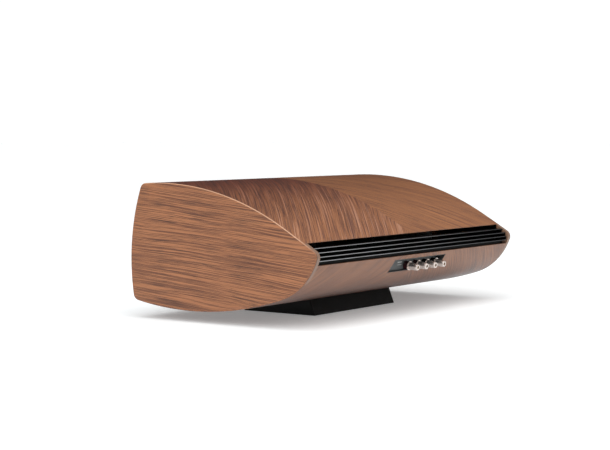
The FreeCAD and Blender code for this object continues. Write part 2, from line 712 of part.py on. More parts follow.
def woofer_screw_solids(x):
    screw = moved(machine_screw(*WOOFER_SCREW), WOOFER_SCREW_R, 0, WOOFER_FLANGE)
    return [on_baffle(copy, x) for copy in around(screw, WOOFER_SCREWS)]


def tweeter_screw_solids():
    screw = moved(machine_screw(*TWEETER_SCREW), TWEETER_SCREW_R, 0, TWEETER_FACE)
    return [on_baffle(copy) for copy in around(screw, TWEETER_SCREWS, 45.0)]


def driver_screws():
    return woofer_screw_solids(-WOOFER_X) + tweeter_screw_solids() + woofer_screw_solids(WOOFER_X)


# ================================================================ foot
def foot_screw_places():
    return [(side * FOOT_SCREW_X, y) for side in (-1, 1) for y in PAD_Y]


def foot_screw_solids():
    """Countersunk from below: the head sits inside the plinth and the shank bites the bottom shell."""
    screws = []
    for x, y in foot_screw_places():
        screw = machine_screw(*FOOT_SCREW)
        screw.rotate(ORIGIN, X_AXIS, 180)
        screws.append(moved(screw, x, y, FOOT_BOTTOM_Z + FOOT_WELL_DEPTH))
    return screws


def foot_plinth():
    """A block that tapers upward at its front and rear and meets the curved bottom skin."""
    lean = FOOT_HEIGHT * math.tan(math.radians(FOOT_SLOPE_DEG))
    top_z = FOOT_BOTTOM_Z + FOOT_HEIGHT
    block = prism([(FOOT_FRONT_Y, FOOT_BOTTOM_Z), (FOOT_REAR_Y, FOOT_BOTTOM_Z),
                   (FOOT_REAR_Y - lean, top_z), (FOOT_FRONT_Y + lean, top_z)],
                  -FOOT_HALF_X, FOOT_HALF_X)
    corners = [edge for edge in block.Edges
               if abs(edge.tangentAt(0).x) < 0.1 and abs(edge.tangentAt(0).z) > 0.5]
    block = block.makeFillet(FOOT_EDGE_R, corners)
    block = block.cut(body(0.0, -INNER_X, INNER_X))
    for pad in pad_solids():
        block = block.cut(pad)
    shank_r = FOOT_SCREW[2]
    for x, y in foot_screw_places():
        well = tube(FOOT_WELL_R, 0, 0, FOOT_BOTTOM_Z + FOOT_WELL_DEPTH)
        block = block.cut(moved(well, x, y))
        block = block.cut(moved(tube(shank_r, 0, 0, top_z), x, y))
    return max(block.Solids, key=lambda solid: solid.Volume)


def pad_solids():
    pads = []
    for x in (-PAD_X, PAD_X):
        for y in PAD_Y:
            pads.append(moved(tube(PAD_R, 0, 0, PAD_DEPTH), x, y))
    return pads


# ================================================================ crossover and filling
def crossover_board():
    return box(*BOARD_BOX, BOARD_Z, BOARD_TOP_Z)


def crossover_spacers():
    """Four pillars from the bottom skin to the board."""
    low_x, high_x, low_y, high_y = BOARD_BOX
    spacers = []
    inside = body(SKIN, -INNER_X, INNER_X)
    for x in (low_x + SPACER_INSET, high_x - SPACER_INSET):
        for y in (low_y + SPACER_INSET, high_y - SPACER_INSET):
            spacers.append(moved(tube(SPACER_R, 0, 0, BOARD_Z), x, y).common(inside))
    return spacers


def crossover_coils():
    return [moved(tube(outer_r, inner_r, BOARD_TOP_Z, BOARD_TOP_Z + height), x, y)
            for x, y, outer_r, inner_r, height in COILS]


def crossover_capacitors():
    """Film capacitors lying on the board."""
    capacitors = []
    for x, radius, length in CAPACITORS:
        start = FreeCAD.Vector(x, CAPACITOR_FRONT_Y, BOARD_TOP_Z + radius)
        capacitors.append(Part.makeCylinder(radius, length, start, Y_AXIS))
    return capacitors


def crossover_resistors():
    return [box(low_x, low_x + RESISTOR_LENGTH, RESISTOR_FRONT_Y, RESISTOR_FRONT_Y + RESISTOR_SIDE,
                BOARD_TOP_Z, BOARD_TOP_Z + RESISTOR_SIDE) for low_x in RESISTOR_X]


def lead_path(points):
    """Straight runs joined by arcs tangent to both, as large as the shorter run allows."""
    edges = []
    start = points[0]
    for index in range(1, len(points) - 1):
        before = points[index - 1] - points[index]
        after = points[index + 1] - points[index]
        reach = 0.45 * min(before.Length, after.Length)
        into = points[index] + before.normalize() * reach
        out = points[index] + after.normalize() * reach
        half_turn = (math.pi - before.getAngle(after)) / 2
        radius = reach / math.tan(half_turn)
        inward = (before + after).normalize()
        middle = points[index] + inward * (radius / math.cos(half_turn) - radius)
        edges.append(Part.LineSegment(start, into).toShape())
        edges.append(Part.Arc(into, middle, out).toShape())
        start = out
    edges.append(Part.LineSegment(start, points[-1]).toShape())
    return Part.Wire(edges)


def lead(points):
    path = lead_path(points)
    first = path.Edges[0]
    start = first.valueAt(first.FirstParameter)
    ring = Part.makeCircle(LEAD_R, start, first.tangentAt(first.FirstParameter))
    return path.makePipeShell([Part.Wire([ring])], True, False)


def input_lead(index, end_x):
    """From the solder tag of one post, over the rear of the board, down to it."""
    x = post_x(index)
    return lead([terminal_point(x, -10.0, TAG_BACK), terminal_point(x, -10.0, TAG_BACK - 22.0),
                 FreeCAD.Vector(x, 90, 93), FreeCAD.Vector(x * 0.6, 30, 84),
                 FreeCAD.Vector(end_x, -34, 76), FreeCAD.Vector(end_x, -34, BOARD_TOP_Z)])


def woofer_lead(side):
    """From one end of the board, through the brace's window, to the basket's tag."""
    x = side * WOOFER_X
    return lead([FreeCAD.Vector(side * 58, -60, BOARD_TOP_Z), FreeCAD.Vector(side * 58, -60, 76),
                 FreeCAD.Vector(side * 86, -68, 86), FreeCAD.Vector(side * 120, -96, 64),
                 baffle_point(x, -58.0, BASKET_TAG_Z), baffle_point(x, BASKET_TAG_Y[0], BASKET_TAG_Z)])


def speaker_leads():
    """Twin leads drawn as one jacket each: solder tags to the board, board to the woofers."""
    leads = [input_lead(index, end_x) for index, end_x in INPUT_LEAD_POSTS]
    return leads + [woofer_lead(-1), woofer_lead(1)]


def wadding():
    """A soft slab against the inside of each end panel."""
    slabs = []
    for side in (-1, 1):
        near = side * (INNER_X - WADDING_GAP)
        far = near - side * WADDING_THICKNESS
        slab = body(SKIN + WADDING_GAP, min(near, far), max(near, far))
        slab = slab.cut(box(-INNER_X, INNER_X, WADDING_REAR_Y, CABINET_WIDTH, 0, CABINET_WIDTH))
        behind = box(-INNER_X, INNER_X, -150, 150, -BAFFLE_THICKNESS - WADDING_GAP, 80)
        slabs.append(slab.cut(on_baffle(behind)))
    return slabs


# ================================================================ output
def woofer_nodes(name, x):
    basket = on_baffle(woofer_basket(), x)
    for screw in woofer_screw_solids(x):
        basket = basket.cut(screw)
    return {
        "woofer_basket_" + name: [basket],
        "woofer_magnet_" + name: [on_baffle(solid, x) for solid in woofer_magnet()],
        "woofer_cone_" + name: [on_baffle(woofer_cone(), x)],
        "woofer_cap_" + name: [on_baffle(woofer_cap(), x)],
        "woofer_surround_" + name: [on_baffle(woofer_surround(), x)],
        "woofer_spider_" + name: [on_baffle(woofer_spider(), x)],
    }


def post_nodes(index):
    number = str(index + 1)
    return {
        "post_stud_" + number: [post_stud(index)],
        "post_collar_" + number: [post_collar(index)],
        "post_washer_" + number: [post_washer(index)],
        "post_knob_" + number: [post_knob(index)],
    }


def all_nodes():
    nodes = {
        "end_panel_right": [end_panel(1)],
        "end_panel_left": [end_panel(-1)],
        "top_shell": [top_shell()],
        "bottom_shell": [bottom_shell()],
        "front_baffle": [front_baffle()],
        "brace_right": [brace(BRACE_X)],
        "brace_left": [brace(-BRACE_X)],
        "vent_boards": vent_boards(),
        "vent_cheeks": [cheek(1), cheek(-1)],
        "terminal_cup": [terminal_cup()],
        "terminal_plate": [terminal_plate()],
        "terminal_screws": terminal_screws(),
        "post_nuts": post_nuts(),
        "solder_tags": solder_tags(),
        "tweeter_faceplate": [tweeter_faceplate()],
        "tweeter_magnet": [on_baffle(tweeter_magnet())],
        "tweeter_dome": [on_baffle(tweeter_dome())],
        "driver_screws": driver_screws(),
        "foot_plinth": [foot_plinth()],
        "foot_pads": pad_solids(),
        "foot_screws": foot_screw_solids(),
        "crossover_board": [crossover_board()],
        "crossover_spacers": crossover_spacers(),
        "crossover_coils": crossover_coils(),
        "crossover_capacitors": crossover_capacitors(),
        "crossover_resistors": crossover_resistors(),
        "speaker_leads": speaker_leads(),
        "wadding": wadding(),
    }
    for index in range(len(BLADE_REAR_Y)):
        nodes["vent_blade_" + str(index + 1)] = [vent_blade(index)]
    for index in range(POST_COUNT):
        nodes.update(post_nodes(index))
    nodes.update(woofer_nodes("right", WOOFER_X))
    nodes.update(woofer_nodes("left", -WOOFER_X))
    return nodes


def write(nodes):
    os.makedirs("parts", exist_ok=True)
    for name, solids in nodes.items():
        shape = solids[0] if len(solids) == 1 else Part.makeCompound(solids)
        if not shape.isValid():
            print("not valid:", name)
        shape.exportStep("parts/" + name + ".step")
        bounds = shape.BoundBox
        print("%-22s %2d solids  x %7.1f %7.1f  y %7.1f %7.1f  z %6.1f %6.1f" % (
            name, len(shape.Solids), bounds.XMin, bounds.XMax, bounds.YMin, bounds.YMax,
            bounds.ZMin, bounds.ZMax))


write(all_nodes())
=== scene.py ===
import json
import math

import bmesh
import bpy
import numpy as np
from mathutils import Matrix, Vector, noise


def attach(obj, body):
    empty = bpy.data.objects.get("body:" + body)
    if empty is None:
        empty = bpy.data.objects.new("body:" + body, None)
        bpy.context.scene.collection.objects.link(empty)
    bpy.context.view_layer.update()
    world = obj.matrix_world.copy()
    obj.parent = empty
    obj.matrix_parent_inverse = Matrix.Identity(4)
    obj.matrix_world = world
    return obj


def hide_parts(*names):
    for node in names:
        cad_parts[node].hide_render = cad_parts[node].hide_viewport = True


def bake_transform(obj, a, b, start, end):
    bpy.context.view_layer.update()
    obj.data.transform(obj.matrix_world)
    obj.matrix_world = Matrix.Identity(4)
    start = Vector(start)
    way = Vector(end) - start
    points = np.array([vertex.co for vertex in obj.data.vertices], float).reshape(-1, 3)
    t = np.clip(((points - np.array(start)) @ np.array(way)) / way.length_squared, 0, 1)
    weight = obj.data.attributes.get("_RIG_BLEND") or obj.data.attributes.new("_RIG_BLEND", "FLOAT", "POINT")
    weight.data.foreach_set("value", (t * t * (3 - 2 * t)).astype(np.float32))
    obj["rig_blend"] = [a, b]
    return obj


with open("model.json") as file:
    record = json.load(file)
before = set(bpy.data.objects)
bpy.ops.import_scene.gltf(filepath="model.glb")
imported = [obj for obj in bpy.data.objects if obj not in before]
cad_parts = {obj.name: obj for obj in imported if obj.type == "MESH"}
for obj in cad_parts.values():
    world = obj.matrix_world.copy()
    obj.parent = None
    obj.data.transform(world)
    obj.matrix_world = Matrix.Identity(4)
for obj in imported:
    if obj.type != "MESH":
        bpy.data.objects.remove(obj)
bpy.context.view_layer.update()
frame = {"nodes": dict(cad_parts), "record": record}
nodes = frame["nodes"]

# Looks of a passive centre-channel loudspeaker. Metres, in the part's own frame: +X is the right end seen
# from the front, +Y the tail, +Z up.

# ---------------------------------------------------------------- camera
CAMERA_PLACE = (2.139646, 1.513749, 0.295362)
CAMERA_YAW_DEG = 216.2225
CAMERA_DOWN_DEG = 3.3348
CAMERA_ROLL_DEG = -0.2443
LENS_MM = 90.0
SENSOR_MM = 36.0

# ---------------------------------------------------------------- cabinet outline, as (y, z)
TOP_CENTRE = (-0.1230, -0.2833)
TOP_RADIUS = 0.505
HEEL_CENTRE = (0.0877, 0.1466)
HEEL_RADIUS = 0.106
BOTTOM_CENTRE = (-0.060, 0.618)
BOTTOM_RADIUS = 0.600
HEEL_START = math.radians(72.6)
PANEL_OUTER_X = 0.300
PANEL_INNER_X = 0.291
NOSE_Z = 0.117

# ---------------------------------------------------------------- front
BAFFLE_TILT_DEG = 5.0
BAFFLE_ORIGIN = Vector((0.0, -0.172, 0.1226))
WOOFER_X = 0.152

# ---------------------------------------------------------------- terminals
TERMINAL_TILT_DEG = 8.0
TERMINAL_ORIGIN = Vector((0.0, 0.16105, 0.0823))
FIRST_POST_X = 0.0127
POST_PITCH = 0.0279
POST_X = [FIRST_POST_X - POST_PITCH * index for index in range(4)]


# ================================================================ materials
def tone(code):
    """A colour written as six hexadecimal digits, as linear red, green, blue and alpha."""
    parts = [int(code[place:place + 2], 16) / 255 for place in (0, 2, 4)]
    return [((part + 0.055) / 1.055) ** 2.4 for part in parts] + [1.0]


class Paint:
    """A material and short calls for its nodes. A value is a number, a colour or another node's output."""

    def __init__(self, name, **settings):
        self.material = bpy.data.materials.new(name)
        self.material.use_nodes = True
        self.tree = self.material.node_tree
        self.shader = self.tree.nodes["Principled BSDF"]
        self.place = self.add("ShaderNodeTexCoord").outputs["Object"]
        for label, value in settings.items():
            self.shade(label, value)

    def add(self, kind, **settings):
        node = self.tree.nodes.new(kind)
        for label, value in settings.items():
            setattr(node, label, value)
        return node

    def wire(self, socket, value):
        if isinstance(value, bpy.types.NodeSocket):
            self.tree.links.new(value, socket)
        else:
            socket.default_value = value

    def shade(self, label, value):
        """Sets one socket of the shader: base_color is its Base Color."""
        self.wire(self.shader.inputs[label.replace("_", " ").title().replace("Ior", "IOR")], value)

    def math(self, operation, *values):
        node = self.add("ShaderNodeMath", operation=operation)
        for socket, value in zip(node.inputs, values):
            self.wire(socket, value)
        return node.outputs[0]

    def split(self, vector):
        node = self.add("ShaderNodeSeparateXYZ")
        self.wire(node.inputs[0], vector)
        return node.outputs

    def axes(self):
        return self.split(self.place)

    def vector(self, x, y, z):
        node = self.add("ShaderNodeCombineXYZ")
        for socket, value in zip(node.inputs, (x, y, z)):
            self.wire(socket, value)
        return node.outputs[0]

    def noise(self, vector, scale, detail, roughness=0.5):
        node = self.add("ShaderNodeTexNoise")
        self.wire(node.inputs["Vector"], vector)
        self.wire(node.inputs["Scale"], scale)
        self.wire(node.inputs["Detail"], detail)
        self.wire(node.inputs["Roughness"], roughness)
        return node.outputs["Fac"]

    def cells(self, scale):
        """Distance to the nearest of many scattered points."""
        node = self.add("ShaderNodeTexVoronoi", feature="F1")
        self.wire(node.inputs["Vector"], self.place)
        self.wire(node.inputs["Scale"], scale)
        return node.outputs["Distance"]

    def fit(self, value, low, high, new_low=0.0, new_high=1.0):
        """Maps a range onto another, smoothly and without going past its ends."""
        node = self.add("ShaderNodeMapRange", interpolation_type="SMOOTHSTEP")
        for socket, number in zip(node.inputs, (value, low, high, new_low, new_high)):
            self.wire(socket, number)
        return node.outputs[0]

    def band(self, value, rise, fall):
        """1 between a rise and a fall, 0 outside. Each is a pair of values: where it is 0, then 1."""
        return self.math("MULTIPLY", self.fit(value, *rise), self.fit(value, *fall))

    def mix(self, share, first, second, blend_type="MIX"):
        node = self.add("ShaderNodeMix", data_type="RGBA", blend_type=blend_type)
        self.wire(node.inputs[0], share)
        self.wire(node.inputs[6], first)
        self.wire(node.inputs[7], second)
        return node.outputs[2]

    def bump(self, height, depth, strength):
        """Raises the surface by height, in shares of depth in metres."""
        node = self.add("ShaderNodeBump")
        self.wire(node.inputs["Height"], height)
        self.wire(node.inputs["Distance"], depth)
        self.wire(node.inputs["Strength"], strength)
        self.shade("normal", node.outputs[0])


# ---------------------------------------------------------------- veneer
# A pattern of lines: how much of the distance along the grain counts, then the noise's scale, detail and
# roughness.
FIGURE = (0.10, 42.0, 2.0, 0.5)
STREAKS = (0.012, 470.0, 4.0, 0.7)
FIBRES = (0.02, 1100.0, 2.0, 0.5)
DASHES = (0.018, 760.0, 2.0, 0.7)
PALE_LINES = (0.010, 420.0, 2.0, 0.6)
GRAIN_DRIFT = 0.016
DRIFT_SCALE = 5.0
DRIFT_SQUEEZE = 2.5
FIBRE_SHARE = 0.7
FIGURE_SHARE = 0.6
USUAL_SHARE = 0.6
PORE_SHARE = 0.8

# Light, dark and pore tones, and how much the streaks show.
TOP_TONES = ("9b6842", "643c2b", "472a1c")
TOP_STRENGTH_LEFT = 1.1
TOP_STRENGTH_RIGHT = 1.2
BOTTOM_TONES = ("85583c", "5f3a27", "3c2015")
BOTTOM_STRENGTH = 0.9
PANEL_TONES = ("9c6540", "5c341f", "361b0d")
PANEL_STRENGTH = 1.6
PANEL_GRAIN_DEG = -5.0
PANEL_GRAIN_ALONG = 0.9
PANEL_GRAIN_ACROSS = 1.5
PANEL_SEED_SPREAD = 9.0
HALF_SEAM = 0.0003

# Where the skins' painted sheen and painted shade start and end: along y on the top, along z on the lower
# skin.
TOP_PAINTED_SHEEN_RIGHT = (-0.10, 0.17)
TOP_PAINTED_SHEEN_LEFT = (-0.12, 0.15)
BOTTOM_PAINTED_SHADE = (0.038, 0.078)

# Bands of the end panel, by depth behind its outer face, then by how far back they lie.
RIM_RISE = (0.0015, 0.0019)
JOINT_BAND = ((0.0010, 0.0014), (0.0026, 0.0020))
# The painted highlight on the rounding of the upper edge.
HIGHLIGHT_BAND = ((0.0, 0.0005), (0.0017, 0.0012))
NOSE_RISE = (0.160, 0.168)
FRONT_RISE = (-0.158, -0.168)


def lines(paint, along, across, seed, pattern):
    """Noise drawn out along the grain."""
    reach, scale, detail, roughness = pattern
    place = paint.vector(paint.math("MULTIPLY", along, reach), across, seed)
    return paint.noise(place, scale, detail, roughness)


def grain(paint, along, across, seed):
    """Figure, streaks, fibres and pores of a veneer, each from 0 to 1."""
    slow = paint.vector(along, paint.math("MULTIPLY", across, DRIFT_SQUEEZE), seed)
    drift = paint.noise(slow, DRIFT_SCALE, 1.0)
    across = paint.math("MULTIPLY_ADD", paint.math("SUBTRACT", drift, 0.5), GRAIN_DRIFT, across)
    figure = lines(paint, along, across, seed, FIGURE)
    streaks = lines(paint, along, across, seed, STREAKS)
    fibres = lines(paint, along, across, seed, FIBRES)
    dashes = lines(paint, along, across, seed, DASHES)
    pores = paint.math("MULTIPLY", paint.fit(dashes, 0.56, 0.64), paint.fit(figure, 0.62, 0.42, 0.3, 1.0))
    return figure, streaks, fibres, pores


def veneer(paint, along, across, seed, tones, strength):
    """Colour, fibres and pores of one leaf of veneer."""
    light, dark, pore = [tone(code) for code in tones]
    figure, streaks, fibres, pores = grain(paint, along, across, seed)
    share = paint.fit(streaks, 0.34, 0.62)
    share = paint.math("MULTIPLY_ADD", paint.math("SUBTRACT", fibres, 0.5), FIBRE_SHARE, share)
    share = paint.math("MULTIPLY_ADD", paint.math("SUBTRACT", figure, 0.5), FIGURE_SHARE, share)
    share = paint.math("MULTIPLY_ADD", paint.math("SUBTRACT", share, USUAL_SHARE), strength, USUAL_SHARE)
    color = paint.mix(paint.fit(share, 0.0, 1.0), dark, light)
    depth = paint.math("MULTIPLY", pores, paint.math("MULTIPLY", strength, PORE_SHARE))
    return paint.mix(depth, color, pore), fibres, pores


def lacquer(paint, fibres, pores):
    """Satin lacquer that sinks a little into the pores."""
    paint.shade("roughness", paint.fit(fibres, 0.2, 0.8, 0.36, 0.50))
    paint.shade("specular_ior_level", 0.4)
    paint.shade("coat_weight", 0.15)
    paint.shade("coat_roughness", 0.25)
    paint.bump(paint.math("SUBTRACT", fibres, pores), 0.00012, 0.5)


def diagonal(paint, x, run):
    """Places along and across a grain that runs at 45 degrees, mirrored about the middle seam."""
    out = paint.math("ABSOLUTE", x)
    half = math.sqrt(0.5)
    along = paint.math("MULTIPLY", paint.math("ADD", out, run), half)
    across = paint.math("MULTIPLY", paint.math("SUBTRACT", out, run), half)
    return along, across


def angle_about(paint, y, z, centre):
    """Angle of a place about one of the outline's centres."""
    return paint.math("ARCTAN2", paint.math("SUBTRACT", z, centre[1]), paint.math("SUBTRACT", y, centre[0]))


def top_wood(paint):
    """Two book-matched leaves. Painted shade makes the right one redder and darker, and painted sheen makes
    both paler towards the vent.
    """
    x, y, z = paint.axes()
    run = paint.math("MULTIPLY", angle_about(paint, y, z, TOP_CENTRE), -TOP_RADIUS)
    along, across = diagonal(paint, x, run)
    leaf = paint.fit(x, -HALF_SEAM, HALF_SEAM)
    strength = paint.fit(leaf, 0.0, 1.0, TOP_STRENGTH_LEFT, TOP_STRENGTH_RIGHT)
    color, fibres, pores = veneer(paint, along, across, leaf, TOP_TONES, strength)
    pale = lines(paint, along, across, leaf, PALE_LINES)
    pale = paint.math("MULTIPLY", paint.fit(pale, 0.54, 0.64), paint.math("MULTIPLY", leaf, 0.6))
    color = paint.mix(pale, color, tone("c9997b"))
    # Painted shade and sheen: the right leaf is darkened, and both leaves lighten from the front towards the
    # vent.
    right = paint.mix(paint.fit(y, *TOP_PAINTED_SHEEN_RIGHT), tone("97695a"), tone("f4ecea"))
    left = paint.mix(paint.fit(y, *TOP_PAINTED_SHEEN_LEFT), tone("e0d4c6"), tone("fffaf2"))
    return paint.mix(1.0, color, paint.mix(leaf, left, right), "MULTIPLY"), fibres, pores


def bottom_wood(paint):
    """Grain that runs outward as it goes down, with painted shade that darkens it towards the underside."""
    x, y, z = paint.axes()
    heel = paint.math("MULTIPLY", angle_about(paint, y, z, HEEL_CENTRE), -1.0)
    sole = paint.math("MULTIPLY", angle_about(paint, y, z, BOTTOM_CENTRE), -1.0)
    run = paint.math("MULTIPLY", paint.math("MINIMUM", heel, HEEL_START), HEEL_RADIUS)
    run = paint.math("MULTIPLY_ADD", paint.math("MAXIMUM", sole, HEEL_START), BOTTOM_RADIUS, run)
    along, across = diagonal(paint, x, run)
    leaf = paint.fit(x, -HALF_SEAM, HALF_SEAM, 2.0, 3.0)
    color, fibres, pores = veneer(paint, along, across, leaf, BOTTOM_TONES, BOTTOM_STRENGTH)
    # Painted shade: the colour darkens towards the underside, near the plinth.
    painted_shade = paint.fit(z, *BOTTOM_PAINTED_SHADE)
    color = paint.mix(1.0, color, paint.mix(painted_shade, tone("b8a08c"), tone("fffcf4")), "MULTIPLY")
    return color, fibres, pores


def panel_wood(paint):
    """Grain nearly level, falling a little towards the tail."""
    x, y, z = paint.axes()
    slope = math.radians(PANEL_GRAIN_DEG)
    along = paint.math("MULTIPLY_ADD", y, math.cos(slope), paint.math("MULTIPLY", z, math.sin(slope)))
    across = paint.math("MULTIPLY_ADD", z, math.cos(slope), paint.math("MULTIPLY", y, -math.sin(slope)))
    along = paint.math("MULTIPLY", along, PANEL_GRAIN_ALONG)
    across = paint.math("MULTIPLY", across, PANEL_GRAIN_ACROSS)
    side = paint.math("MULTIPLY", x, PANEL_SEED_SPREAD)
    return veneer(paint, along, across, side, PANEL_TONES, PANEL_STRENGTH)


def skin_veneer(name, wood):
    """Veneer of the top or the lower skin."""
    paint = Paint(name)
    color, fibres, pores = wood(paint)
    paint.shade("base_color", color)
    lacquer(paint, fibres, pores)
    return paint.material


def panel_veneer():
    """End panel. The skins' veneer runs on over its rim, and its upper edge is painted paler as a highlight.
    """
    paint = Paint("panel_veneer")
    x, y, z = paint.axes()
    color, fibres, pores = panel_wood(paint)
    depth = paint.math("SUBTRACT", PANEL_OUTER_X, paint.math("ABSOLUTE", x))
    above = paint.fit(z, NOSE_Z - 0.001, NOSE_Z + 0.001)
    # The rim takes the skins' colours, with their painted sheen and painted shade.
    rim = paint.mix(above, bottom_wood(paint)[0], top_wood(paint)[0])
    rim = paint.mix(paint.math("MULTIPLY", paint.fit(y, *NOSE_RISE), 0.8), rim, tone("7d6555"))
    rim = paint.mix(paint.fit(y, *FRONT_RISE), rim, color)
    color = paint.mix(paint.fit(depth, *RIM_RISE), color, rim)
    below = paint.math("MULTIPLY", paint.fit(z, NOSE_Z + 0.012, NOSE_Z - 0.004), 0.8)
    joint = paint.math("MULTIPLY", paint.band(depth, *JOINT_BAND), below)
    color = paint.mix(joint, color, tone("3a241a"))
    # Painted highlight: the rounded upper edge is lightened above the nose only, where light falls on it.
    painted_highlight = paint.math("MULTIPLY", paint.band(depth, *HIGHLIGHT_BAND), paint.fit(z, NOSE_Z, NOSE_Z + 0.03))
    color = paint.mix(paint.math("MULTIPLY", painted_highlight, 0.75), color, tone("c79b7c"))
    paint.shade("base_color", color)
    lacquer(paint, fibres, pores)
    return paint.material


# ---------------------------------------------------------------- other materials
# The printed bars: how they rise and fall along x, then along z.
BAR_ENDS = ((0.0245, 0.0250), (0.0375, 0.0370))
UPPER_BAR = ((0.0870, 0.0873), (0.0888, 0.0885))
LOWER_BAR = ((0.0830, 0.0833), (0.0840, 0.0837))
# The cloth's threads in radians a metre, and the distance between the lines on the wire.
THREADS = 2600.0
WIRE_LINES = 0.0009


def board(name, light, dark):
    """Pressed fibre board: fine mottling and no direction."""
    paint = Paint(name, roughness=0.8)
    mottle = paint.noise(paint.place, 700.0, 3.0)
    cloud = paint.noise(paint.place, 40.0, 2.0)
    color = paint.mix(paint.fit(mottle, 0.3, 0.7), dark, light)
    color = paint.mix(paint.fit(cloud, 0.3, 0.8, 0.0, 0.25), color, dark)
    paint.shade("base_color", color)
    paint.bump(mottle, 0.0002, 0.4)
    return paint.material


def leather():
    """Black leather: pebbles with creases between them."""
    paint = Paint("leather")
    warp = paint.noise(paint.place, 60.0, 2.0)
    pebbles = paint.cells(620.0)
    fine = paint.noise(paint.place, 2600.0, 2.0)
    crease = paint.fit(pebbles, 0.25, 0.75)
    color = paint.mix(crease, tone("191716"), tone("0b0a0a"))
    color = paint.mix(paint.fit(warp, 0.35, 0.7, 0.0, 0.4), color, tone("221f1d"))
    paint.shade("base_color", color)
    paint.shade("roughness", paint.fit(crease, 0.0, 1.0, 0.42, 0.66))
    height = paint.math("MULTIPLY_ADD", fine, 0.2, paint.math("MULTIPLY", crease, -1.0))
    paint.bump(height, 0.00025, 0.7)
    return paint.material


def moulded(name, color, worn, roughness, grit=1800.0, shine=0.5):
    """Moulded plastic or rubber with a fine even texture and faint handling marks."""
    paint = Paint(name)
    texture = paint.noise(paint.place, grit, 2.0)
    marks = paint.noise(paint.place, 35.0, 4.0, 0.65)
    paint.shade("base_color", paint.mix(paint.fit(marks, 0.45, 0.75, 0.0, 0.6), color, worn))
    paint.shade("roughness", paint.fit(marks, 0.3, 0.75, roughness, roughness + 0.14))
    paint.shade("specular_ior_level", shine)
    paint.bump(texture, 0.00008, 0.5)
    return paint.material


def plate():
    """Painted plate with two plain printed bars beside the first post."""
    paint = Paint("plate_metal")
    x, _, z = paint.axes()
    texture = paint.noise(paint.place, 2400.0, 2.0)
    wear = paint.noise(paint.place, 60.0, 4.0, 0.65)
    either = paint.math("MAXIMUM", paint.band(z, *UPPER_BAR), paint.band(z, *LOWER_BAR))
    bars = paint.math("MULTIPLY", paint.band(x, *BAR_ENDS), either)
    color = paint.mix(paint.fit(wear, 0.45, 0.75, 0.0, 0.6), tone("4c4e4e"), tone("5d5f5e"))
    paint.shade("base_color", paint.mix(paint.math("MULTIPLY", bars, 0.8), color, tone("c9c9c6")))
    paint.shade("roughness", paint.fit(wear, 0.3, 0.75, 0.42, 0.56))
    paint.bump(texture, 0.00008, 0.5)
    return paint.material


def metal(name, color, roughness, grit=900.0, squeeze=(1.0, 1.0, 1.0), stain_level=0.8):
    """Metal with darker stains and tool marks. The marks are long on an axis whose squeeze is small."""
    paint = Paint(name, metallic=1.0)
    spread = [paint.math("MULTIPLY", axis, number) for axis, number in zip(paint.axes(), squeeze)]
    marks = paint.noise(paint.vector(*spread), grit, 3.0, 0.6)
    stain = paint.noise(paint.place, 55.0, 3.0)
    dull = [part * stain_level for part in color[:3]] + [1.0]
    paint.shade("base_color", paint.mix(paint.fit(stain, 0.35, 0.7), color, dull))
    paint.shade("roughness", paint.fit(marks, 0.25, 0.75, roughness * 0.8, roughness * 1.35))
    paint.bump(marks, 0.00004, 0.4)
    return paint.material


def blades():
    """Black blades whose narrow rear edges are painted bright as a highlight, more so towards +X."""
    paint = Paint("blade_metal", metallic=1.0)
    x, y, z = paint.axes()
    marks = paint.noise(paint.vector(paint.math("MULTIPLY", x, 0.02), y, z), 700.0, 3.0, 0.6)
    facing = paint.split(paint.add("ShaderNodeTexCoord").outputs["Normal"])
    # Painted highlight: faces that point to the rear are lightened, more so towards +X.
    edge = paint.math("MULTIPLY", paint.fit(facing[1], 0.6, 0.85), paint.fit(x, -0.29, 0.29, 0.12, 1.0))
    paint.shade("base_color", paint.mix(edge, tone("18181a"), tone("a6a6a8")))
    paint.shade("roughness", paint.fit(marks, 0.25, 0.75, 0.24, 0.40))
    paint.bump(marks, 0.00004, 0.4)
    return paint.material


def paper():
    """Pressed paper pulp: dark grey, with tangled fibres and paler flecks."""
    paint = Paint("cone_paper", roughness=0.78)
    tangle = paint.noise(paint.place, 420.0, 4.0, 0.7)
    flecks = paint.fit(paint.noise(paint.place, 1300.0, 2.0), 0.62, 0.72)
    color = paint.mix(paint.fit(tangle, 0.3, 0.7), tone("343433"), tone("525150"))
    paint.shade("base_color", paint.mix(paint.math("MULTIPLY", flecks, 0.5), color, tone("6a6866")))
    paint.bump(tangle, 0.0003, 0.5)
    return paint.material


def cloth(name, color, shadow):
    """Plain weave: two crossed sets of threads."""
    paint = Paint(name, roughness=0.85)
    x, _, z = paint.axes()
    warp = paint.math("SINE", paint.math("MULTIPLY", x, THREADS))
    weft = paint.math("SINE", paint.math("MULTIPLY", z, THREADS))
    weave = paint.math("MULTIPLY_ADD", paint.math("MULTIPLY", warp, weft), 0.5, 0.5)
    slub = paint.noise(paint.place, 300.0, 2.0)
    color = paint.mix(weave, shadow, color)
    paint.shade("base_color", paint.mix(paint.fit(slub, 0.4, 0.8, 0.0, 0.5), color, shadow))
    paint.shade("sheen_weight", 0.3)
    paint.bump(weave, 0.0001, 0.6)
    return paint.material


def fleece():
    """Matt grey fibres in soft tufts."""
    paint = Paint("grey_wadding", roughness=0.95)
    tufts = paint.noise(paint.place, 90.0, 5.0, 0.75)
    paint.shade("base_color", paint.mix(paint.fit(tufts, 0.3, 0.7), tone("4a4a49"), tone("6e6e6c")))
    paint.shade("sheen_weight", 0.4)
    paint.bump(tufts, 0.002, 0.8)
    return paint.material


